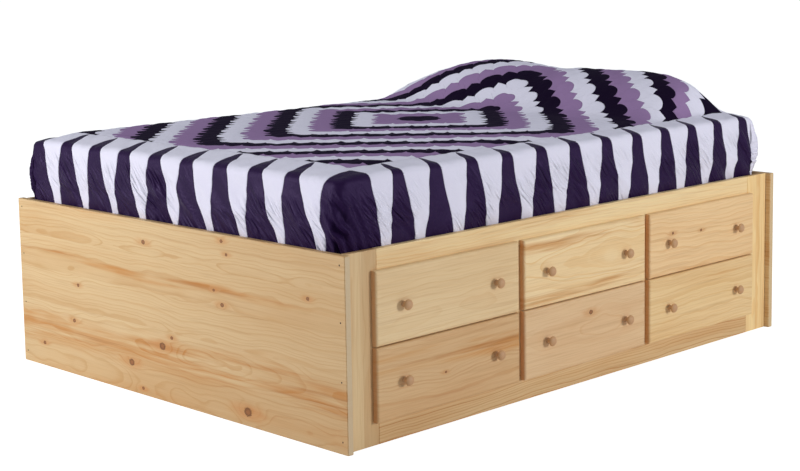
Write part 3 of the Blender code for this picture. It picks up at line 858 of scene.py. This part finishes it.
def quilt_cloth_lines(grid, points):
    """Cloth coordinates: the humps take up extra length, and some lies slack over the pillows."""
    on_top = grid.down < 0.001
    rise_s = np.diff(smoothed(points[..., 2], 1, 4), axis=1, prepend=points[:, :1, 2]) * on_top
    rise_t = np.diff(smoothed(points[..., 2], 0, 4), axis=0, prepend=points[:1, :, 2]) * on_top
    gain_s = np.cumsum(np.sqrt(QUILT_STEP ** 2 + rise_s ** 2) - QUILT_STEP, axis=1)
    gain_t = np.cumsum(np.sqrt(QUILT_STEP ** 2 + rise_t ** 2) - QUILT_STEP, axis=0)
    middle_row, middle_column = grid.s.shape[0] // 2, grid.s.shape[1] // 2
    cloth_s = grid.s + gain_s - gain_s[:, middle_column:middle_column + 1]
    slack = ease(grid.t, 0.40, 1.0)
    cloth_s = cloth_s + 0.035 * slack * ease(grid.s, 0.20, 0.70)
    cloth_t = grid.t + 0.050 * slack + gain_t - gain_t[middle_row:middle_row + 1, :]
    return cloth_s, cloth_t


def grid_mesh(name, points, maps):
    """A sheet of quads from a grid of points, with UV maps from grids of (u, v)."""
    rows, columns = points.shape[:2]
    index = np.arange(rows * columns).reshape(rows, columns)
    quads = np.stack([index[:-1, :-1], index[:-1, 1:], index[1:, 1:], index[1:, :-1]], -1).reshape(-1, 4)
    mesh = bpy.data.meshes.new(name)
    mesh.vertices.add(rows * columns)
    mesh.vertices.foreach_set("co", points.reshape(-1))
    mesh.loops.add(quads.size)
    mesh.loops.foreach_set("vertex_index", quads.reshape(-1))
    mesh.polygons.add(len(quads))
    mesh.polygons.foreach_set("loop_start", np.arange(0, quads.size, 4))
    mesh.update()
    for map_name, (u, v) in maps.items():
        layer = mesh.uv_layers.new(name=map_name)
        pairs = np.stack([u.reshape(-1), v.reshape(-1)], -1)[quads.reshape(-1)]
        layer.data.foreach_set("uv", pairs.reshape(-1))
    mesh.validate()
    mesh.shade_smooth()
    return mesh


# ---- the quilt's pattern ----------------------------------------------------------------

QUILT_DARK = srgb(41, 23, 60)           # in the border
RING_DARK = srgb(19, 6, 31)
QUILT_MID = srgb(160, 130, 174)
QUILT_LIGHT = srgb(241, 238, 254)
FIELD_HALF_X = QUILT_HALF_X - 0.070     # where the field ends and the border of keys starts
FIELD_HALF_Y = QUILT_HALF_Y - 0.100
END_PITCH = 0.161
END_TAPER = 1.60
END_KEYS = 9
SIDE_PITCH = 0.1563
SIDE_FIRST_GAP = 0.126    # from the field's corner at the foot to the first dark key's middle
PATCH_ROUND = 0.030
RING_SQUARENESS = 9.0     # higher is sharper corners
LOBE_SHARE = 0.60         # of each lobe and spike along a ring's edge
SCALLOP_DEPTH = 0.027
MAP_OFFSET = 2.0          # keeps the cloth maps' coordinates positive
MAP_SHRINK = 10           # and this keeps the skirt's map small
THREADS = 5200.0          # radians of weave a metre


def key_half_width(past, pitch, taper=1.52):
    """Light keys narrow quickly past the field's edge, then slowly down to the hem."""
    return pitch / 2 * (1 - taper * np.maximum(past, 0.0) ** 0.62)


def end_keys(grid, past, stray):
    """At the bed's ends: place across the keys, a light key's half width, distance inside it."""
    lean = np.where(grid.t < 0, 0.030 + 0.034 * np.maximum(grid.s, 0.0), 0.0)
    growth = 0.30 * np.clip(past / 0.12, 0.0, 1.0) + 0.70 * ease(past, 0.12, 0.40)
    across = grid.s - lean * growth - stray * ease(past, 0.05, 0.3)
    number = np.clip(np.round(across / END_PITCH), -(END_KEYS // 2), END_KEYS // 2)
    half = key_half_width(past, END_PITCH, END_TAPER)
    return across, half, half - np.abs(across - number * END_PITCH)


def side_keys(grid, past, stray):
    """At the long sides: place from the first dark key, and distances inside the light keys.

    The light key before the first dark one is narrower, and comes as a distance of its own too.
    """
    sweep = 0.010 * ease(past, 0.1, 0.3) + stray * ease(past, 0.03, 0.25)
    drift = 0.017 * np.exp(-((grid.t - 0.35) / 0.38) ** 2)
    along = grid.t - sweep - drift - (SIDE_FIRST_GAP - FIELD_HALF_Y)
    beat = along / SIDE_PITCH
    inside = key_half_width(past, SIDE_PITCH) - np.abs(beat - np.floor(beat) - 0.5) * SIDE_PITCH
    first = key_half_width(past, SIDE_FIRST_GAP) - np.abs(along + SIDE_FIRST_GAP / 2)
    return along, first, np.where(along < 0, first, inside)


def corner_patch(past_end_key, past_side_key):
    """Distance inside the dark patch on a foot corner, which is arched at the top."""
    short_x = np.maximum(PATCH_ROUND - past_end_key, 0.0)
    short_y = np.maximum(PATCH_ROUND - past_side_key, 0.0)
    arch = PATCH_ROUND - (short_x ** 1.5 + short_y ** 1.5) ** (1 / 1.5)
    return np.where((short_x > 0) & (short_y > 0), arch, np.minimum(past_end_key, past_side_key))


def key_distance(grid):
    """Signed distance inside the light keys, and how far the cloth is past the field's edge."""
    past_x = np.abs(grid.s) - FIELD_HALF_X
    past_y = np.abs(grid.t) - FIELD_HALF_Y
    stray = 0.006 * wave(grid.s, grid.t, 7.0, 7.0, 31.0) + 0.003 * wave(grid.s, grid.t, 22.0, 22.0, 33.0)
    across, end_half, in_end = end_keys(grid, past_y, stray)
    along, in_first, in_side = side_keys(grid, past_x, stray)
    light = np.where(past_x > past_y, in_side, in_end)
    last_end = (END_KEYS // 2) * END_PITCH
    fuller = 0.013 * ease(past_y, 0.0, 0.03) * (1 - ease(past_y, 0.08, 0.13))
    past_side_key = -along - SIDE_FIRST_GAP / 2 - key_half_width(past_x, SIDE_FIRST_GAP)
    patch = corner_patch(np.abs(across) - last_end - end_half - fuller, past_side_key)
    on_corner = (np.abs(across) > last_end) & (along < 0) & (grid.t < 0)
    past_first = along > -SIDE_FIRST_GAP / 2
    light = np.where(on_corner, np.where(past_first, np.minimum(in_first, -patch), -patch), light)
    head_corner = (grid.t > 0) & (past_y > np.minimum(past_x, 0.10)) & (np.abs(grid.s) > last_end)
    return np.where(head_corner, 0.02, light), np.maximum(past_x, past_y)


def quilt_cloth():
    cloth = Graph("quilt_pieced_cotton", 0.58)
    cloth.shader.inputs["Specular IOR Level"].default_value = 0.16
    cloth.shader.inputs["Specular Tint"].default_value = (0.62, 0.42, 1.0, 1.0)
    s, t = [part - MAP_OFFSET for part in cloth.map("cloth")]
    light, past = [part - MAP_OFFSET for part in cloth.map("border")]
    ring, ring_edge = ring_pattern(cloth, s, t)
    outside = past.over(0.0)
    border = cloth.mix(QUILT_DARK, QUILT_LIGHT, light.over(0.0))
    colour = cloth.mix(ring, border, outside)
    key_edge = (1 - abs(light).step(0.0006, 0.0026)).high(1 - abs(past).step(0.0006, 0.0026))
    seam = outside.choose(key_edge, ring_edge)
    weave = cloth_weave(s, t)
    colour = cloth.mix(colour, (0.0, 0.0, 0.0), weave * 0.05)
    cloth.colour(cloth.mix(colour, (0.10, 0.07, 0.15), seam * 0.05))
    cloth.rough(outside.choose(0.40, 0.88))
    pucker = cloth.noise((s * 60.0, t * 60.0), 3.0)
    creases = drape_creases(cloth) * outside
    cloth.bump(pucker * 0.7 + creases * 3.4 - seam * 0.6 + weave * 0.04, 0.0022, 1.0)
    return cloth.material


def drape_creases(cloth):
    """Fine creases that lean like the drape's folds, in groups, on the skirt only."""
    walk, down = [(part - MAP_OFFSET) * MAP_SHRINK for part in cloth.map("skirt")]
    across = walk * sin(FOLD_LEAN) - down * cos(FOLD_LEAN)
    along = walk * cos(FOLD_LEAN) + down * sin(FOLD_LEAN)
    fold = cloth.noise((across * 34.0, along * 4.5), 2.0, 0.6)
    sharp = 1 - abs(fold - 0.5) * 5.0
    groups = cloth.noise((walk * 4.0, down * 6.0, 3.0), 1.0).step(0.38, 0.62)
    return sharp.high(0.0) * groups * down.step(0.01, 0.07)


def cloth_weave(s, t):
    """Plain weave, about one thread a millimetre so that it can still be seen at a distance."""
    return ((s * THREADS).sine() * (t * THREADS).sine() + 1.0) * 0.5


def ring_pattern(cloth, s, t):
    """Scalloped rings, set on point: dark, mid and light in turn from the middle out.

    Each ring's edge is a row of round lobes and pointed spikes in turn, with a lobe at every corner.
    """
    a = (s - RING_CENTRE[0] + t - RING_CENTRE[1]) * sqrt(0.5)
    b = (s - RING_CENTRE[0] - t + RING_CENTRE[1]) * sqrt(0.5)
    square = (abs(a) ** RING_SQUARENESS + abs(b) ** RING_SQUARENESS) ** (1 / RING_SQUARENESS)
    circle = (a * a + b * b).root()
    size = square.step(0.05, 0.15).choose(square, circle)
    number = (size / RING_WIDTH + 0.5 - SCALLOP_DEPTH * 0.5 / RING_WIDTH).floor().high(1.0)
    corner = number * (RING_WIDTH * 0.5 ** (1 / RING_SQUARENESS))
    turns = (corner * (2 / SCALLOP_PERIOD) + 0.5).floor().high(1.0) * 0.5
    beat = ((corner - abs(a).low(abs(b))) * turns / corner.high(0.01) + LOBE_SHARE / 2).fract()
    in_lobe = beat.under(LOBE_SHARE)
    lobe = (beat * (pi / LOBE_SHARE)).sine().high(0.0) ** 0.55
    spike = 1 - abs((beat - LOBE_SHARE) / (1 - LOBE_SHARE) * 2 - 1)
    deep = number.over(1.5).choose(SCALLOP_DEPTH, SCALLOP_DEPTH * 0.35)
    bulge = in_lobe.choose(lobe, spike * 0.95) * deep
    past = size - number * RING_WIDTH - bulge
    third = ((number - past.under(0.0)) / 3 + 0.01).fract() * 3
    colour = cloth.mix(RING_DARK, QUILT_MID, third.over(0.9))
    colour = cloth.mix(colour, QUILT_LIGHT, third.over(1.9))
    notch = beat.low(abs(beat - LOBE_SHARE)).low(1 - beat) * SCALLOP_PERIOD
    edge = (1 - abs(past).step(0.0006, 0.0030)).high((1 - notch.step(0.0004, 0.0018)) * 0.7)
    return colour, edge * size.over(RING_WIDTH * 0.6)


def add_quilt():
    grid = QuiltGrid()
    points = quilt_shape(grid)
    cloth_s, cloth_t = quilt_cloth_lines(grid, points)
    light, past = key_distance(grid)
    maps = {"cloth": (cloth_s + MAP_OFFSET, cloth_t + MAP_OFFSET),
            "border": (light + MAP_OFFSET, past + MAP_OFFSET),
            "skirt": (grid.round_the_side() / MAP_SHRINK + MAP_OFFSET,
                      grid.down / MAP_SHRINK + MAP_OFFSET)}
    mesh = grid_mesh("quilt_draped", points, maps)
    mesh.materials.append(quilt_cloth())
    quilt = linked("quilt_draped", mesh)
    thick = quilt.modifiers.new("thickness", "SOLIDIFY")
    thick.thickness = QUILT_THICKNESS
    thick.offset = -1.0
    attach(quilt, "bedding")
    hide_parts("quilt")


# ---- mattress and pillows ---------------------------------------------------------------

def rounded_box(name, low, high, radius, spacing):
    """A box with rounded edges, meshed finely enough to be shaped afterwards."""
    size = [b - a for a, b in zip(low, high)]
    middle = Vector([(a + b) / 2 for a, b in zip(low, high)])
    shape = bmesh.new()
    bmesh.ops.create_cube(shape, size=1.0)
    for axis in (X, Y, Z):
        cuts = max(2, round(size[axis] / spacing)) - 1
        edges = [edge for edge in shape.edges
                 if abs(edge.verts[0].co[axis] - edge.verts[1].co[axis]) > 0.5]
        bmesh.ops.subdivide_edges(shape, edges=edges, cuts=cuts, use_grid_fill=True)
    half = Vector(size) / 2
    inner = half - Vector((radius, radius, radius))
    for vertex in shape.verts:
        outer = Vector([vertex.co[i] * size[i] for i in range(3)])
        core = Vector([max(-inner[i], min(inner[i], outer[i])) for i in range(3)])
        away = outer - core
        vertex.co = core + away.normalized() * radius if away.length > 1e-9 else outer
        vertex.co += middle
    mesh = mesh_of(name, shape)
    mesh.shade_smooth()
    return mesh


def ticking():
    cloth = Graph("mattress_ticking", 0.85)
    x, y, _ = cloth.place()
    stripe = abs((x / 0.034).fract() - 0.5)
    wide = stripe.step(0.40, 0.42)
    thin = (1 - stripe.step(0.10, 0.115)) * stripe.step(0.07, 0.085)
    weave = cloth_weave(x, y)
    colour = cloth.mix(srgb(228, 226, 218), srgb(150, 160, 178), wide * 0.75 + thin * 0.5)
    cloth.colour(cloth.mix(colour, (0.25, 0.24, 0.22), weave * 0.10))
    cloth.bump(weave, 0.0004, 0.5)
    return cloth.material


@cache
def pillow_cotton():
    cloth = Graph("pillow_cotton_weave", 0.85)
    x, y, z = cloth.place()
    weave = cloth_weave(x, y)
    crease_relief_and_shade = cloth.noise((x * 14.0, y * 14.0, z * 14.0), 4.0)
    # Painted shade: the colour darkens with the crease relief, besides the weave's own texture.
    cloth.colour(cloth.mix(srgb(240, 240, 236), srgb(214, 214, 212), weave * 0.3 + crease_relief_and_shade * 0.4))
    cloth.bump(crease_relief_and_shade * 0.8 + weave * 0.1, 0.003, 0.6)
    return cloth.material


def link_bedding(name, mesh, node, material):
    mesh.materials.append(material)
    piece = linked(name, mesh)
    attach(piece, "bedding")
    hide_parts(node)
    return piece


MATTRESS_EDGE = 0.034     # radius of all its edges
MATTRESS_STEP = 0.022
TUFT_PITCH = 0.19
TUFT_DEPTH = 0.007
TUFT_MARGIN = 0.03        # the tufts start this far in from the edges,
TUFT_RAMP = 0.08          # and have their full depth this much farther in
TUFT_ROOM = 0.0045        # how far the tufted face lies inside the box
CROWN = 0.004
PIPING_RADIUS = 0.0045
PIPING_SIDES = 10
PIPING_INSET = 0.0085
PIPING_LEVEL = 0.012      # from the mattress's top and its underside
PIPING_STEP = 0.05
CORNER_POINTS = 9


def mattress_sink(x, y, z):
    """How far a point of the mattress sinks with its edges: most at the top, not at all below."""
    share = (z - MATTRESS[0][2]) / (MATTRESS[1][2] - MATTRESS[0][2])
    return float(edge_sag(x - MIDDLE_X, y - QUILT_MIDDLE_Y)) * share ** 2


def add_mattress():
    low, high = MATTRESS
    mesh = rounded_box("mattress_body", low, high, MATTRESS_EDGE, MATTRESS_STEP)
    middle_z = (low[2] + high[2]) / 2
    for vertex in mesh.vertices:
        x, y, z = vertex.co
        edge = min(x - low[0], high[0] - x, y - low[1], high[1] - y)
        flat = min(max((edge - TUFT_MARGIN) / TUFT_RAMP, 0.0), 1.0)
        dip = (cos(tau * x / TUFT_PITCH) * cos(tau * y / TUFT_PITCH)) ** 6
        inward = 1 if z < middle_z else -1
        vertex.co.z += inward * (dip * TUFT_DEPTH + TUFT_ROOM - CROWN * flat) * flat
        vertex.co.z -= mattress_sink(x, y, z)
    body = link_bedding("mattress_body", mesh, "mattress", ticking())
    for level, label in ((low[2] + PIPING_LEVEL, "lower"), (high[2] - PIPING_LEVEL, "upper")):
        add_piping(label, low, high, level, body)


def tube(name, path, radius):
    """A closed loop of round cord along level points."""
    path = np.array(path)
    ahead = np.roll(path, -1, 0) - np.roll(path, 1, 0)
    ahead /= np.linalg.norm(ahead, axis=1, keepdims=True)
    out = np.stack([ahead[:, 1], -ahead[:, 0], np.zeros(len(path))], 1)
    turns = np.linspace(0, tau, PIPING_SIDES, endpoint=False)
    rings = (path[:, None] + radius * (np.cos(turns)[None, :, None] * out[:, None]
                                       + np.sin(turns)[None, :, None] * np.array([0, 0, 1.0])))
    return ringed_mesh(name, rings, closed=True)


def filled(points, spacing):
    """The closed path's points, with more between them where they lie far apart."""
    path = []
    for here, ahead in zip(points, points[1:] + points[:1]):
        count = max(1, round(np.hypot(ahead[0] - here[0], ahead[1] - here[1]) / spacing))
        path += [tuple(here[axis] + (ahead[axis] - here[axis]) * i / count for axis in (X, Y, Z))
                 for i in range(count)]
    return path


def edge_loop(low, high, inset, radius, level):
    """Points round a box's edge at one level, with rounded corners."""
    points = []
    for corner, (sign_x, sign_y) in enumerate(((1, 1), (-1, 1), (-1, -1), (1, -1))):
        middle_x = high[0] - radius if sign_x > 0 else low[0] + radius
        middle_y = high[1] - radius if sign_y > 0 else low[1] + radius
        for turn in np.linspace(corner, corner + 1, CORNER_POINTS) * pi / 2:
            points.append((middle_x + (radius - inset) * cos(turn),
                           middle_y + (radius - inset) * sin(turn), level))
    return filled(points, PIPING_STEP)


def add_piping(label, low, high, level, body):
    """Bound tape round the mattress's edge."""
    path = [(x, y, z - mattress_sink(x, y, z))
            for x, y, z in edge_loop(low, high, PIPING_INSET, MATTRESS_EDGE, level)]
    mesh = tube(f"mattress_piping_{label}", path, PIPING_RADIUS)
    mesh.materials.append(pillow_cotton())
    piping = linked(mesh.name, mesh)
    piping.parent = body


PILLOW_STEP = 0.012
PILLOW_VOXEL = 0.008
PILLOW_CAP = 0.014        # how far the filling may push any point
PILLOW_COVER = 0.017      # room left for the quilt above
PILLOW_PRESSURE = 4.0
PILLOW_FRAMES = 20        # length of the filling's simulation


def pillow_case(node):
    """The slack case before it is filled: thick in the middle, drawn in along its four sides."""
    low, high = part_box(node)
    half_x = (high[0] - low[0]) / 2 - PILLOW_CAP
    half_y = (high[1] - low[1]) / 2 - PILLOW_CAP
    middle_x = (high[0] + low[0]) / 2
    middle_y = (high[1] + low[1]) / 2
    columns = round(2 * half_x / PILLOW_STEP)
    rows = round(2 * half_y / PILLOW_STEP)
    u, v = np.meshgrid(np.linspace(-1, 1, columns + 1), np.linspace(-1, 1, rows + 1))
    x = middle_x + half_x * u * (1 - 0.045 * (1 - v * v) * u * u)
    y = middle_y + half_y * v * (1 - 0.045 * (1 - u * u) * v * v)
    full = ((1 - np.abs(u) ** 2.6) * (1 - np.abs(v) ** 2.6)) ** 0.55
    cover = pillow_hump(x - MIDDLE_X, y) - PILLOW_COVER - PILLOW_CAP
    top = low[2] + np.clip(cover, 0.026, (high[2] - low[2]) * 0.90)
    base = low[2] + PILLOW_CAP * 0.6
    seam = base + 0.35 * (top - base)
    upper = np.stack([x, y, seam + (top - seam) * full + 0.002], -1)
    under = np.stack([x, y, seam - (seam - base) * full - 0.002], -1)
    return closed_case(f"{node}_body", upper, under)


def closed_case(name, upper, under):
    """Two grids of points, sewn together along their edges."""
    rows, columns = upper.shape[:2]
    shape = bmesh.new()
    sheets = [[[shape.verts.new(point) for point in row] for row in grid] for grid in (upper, under)]
    for sheet, flip in zip(sheets, (1, -1)):
        for j in range(rows - 1):
            for i in range(columns - 1):
                shape.faces.new([sheet[j][i], sheet[j][i + 1], sheet[j + 1][i + 1], sheet[j + 1][i]][::flip])
    rim = [(0, i) for i in range(columns)] + [(j, columns - 1) for j in range(1, rows)]
    rim += [(rows - 1, i) for i in range(columns - 2, -1, -1)] + [(j, 0) for j in range(rows - 2, 0, -1)]
    for (j, i), (k, m) in zip(rim, rim[1:] + rim[:1]):
        shape.faces.new([sheets[0][k][m], sheets[0][j][i], sheets[1][j][i], sheets[1][k][m]])
    return mesh_of(name, shape)


def vertex_places(mesh):
    places = np.empty(len(mesh.vertices) * 3)
    mesh.vertices.foreach_get("co", places)
    return places.reshape(-1, 3)


def remeshed(piece, voxel):
    """Swap the piece's mesh for an even one."""
    even = piece.modifiers.new("even", "REMESH")
    even.mode = "VOXEL"
    even.voxel_size = voxel
    graph = bpy.context.evaluated_depsgraph_get()
    mesh = bpy.data.meshes.new_from_object(piece.evaluated_get(graph))
    piece.modifiers.clear()
    piece.data = mesh


def swollen(piece, cap):
    """Where cloth pressure moves the piece's points, none farther than cap."""
    start = vertex_places(piece.data)
    cloth = piece.modifiers.new("cloth", "CLOTH")
    cloth.settings.use_pressure = True
    cloth.settings.uniform_pressure_force = PILLOW_PRESSURE
    cloth.settings.effector_weights.gravity = 0.0
    cloth.point_cache.frame_start = 1
    cloth.point_cache.frame_end = PILLOW_FRAMES
    for step in range(1, PILLOW_FRAMES + 1):
        bpy.context.scene.frame_set(step)
    graph = bpy.context.evaluated_depsgraph_get()
    moved = vertex_places(piece.evaluated_get(graph).data) - start
    piece.modifiers.clear()
    bpy.context.scene.frame_set(1)
    far = np.linalg.norm(moved, axis=1, keepdims=True)
    return start + moved * np.minimum(1.0, cap / np.maximum(far, 1e-9))


def add_pillow(node):
    """A filled case: cloth pressure swells it, and the quilt and the mattress press it flatter."""
    name = f"{node}_body"
    piece = link_bedding(name, pillow_case(node), node, pillow_cotton())
    material = piece.data.materials[0]
    remeshed(piece, PILLOW_VOXEL)
    places = swollen(piece, PILLOW_CAP)
    ceiling = QUILT_TOP + pillow_hump(places[:, 0] - MIDDLE_X, places[:, 1]) - PILLOW_COVER
    places[:, 2] = np.minimum(places[:, 2], ceiling)
    places[:, 2] = np.maximum(places[:, 2], MATTRESS[1][2] + 0.001)
    piece.data.vertices.foreach_set("co", places.reshape(-1))
    piece.data.materials.clear()
    piece.data.materials.append(material)
    piece.data.name = name
    piece.data.shade_smooth()


# ---- build ------------------------------------------------------------------------------

add_camera()
add_floor()
add_light()
finish_carcass()
finish_drawers()
add_nails()
add_mattress()
add_pillow("pillow_wall_side")
add_pillow("pillow_drawer_side")
add_quilt()
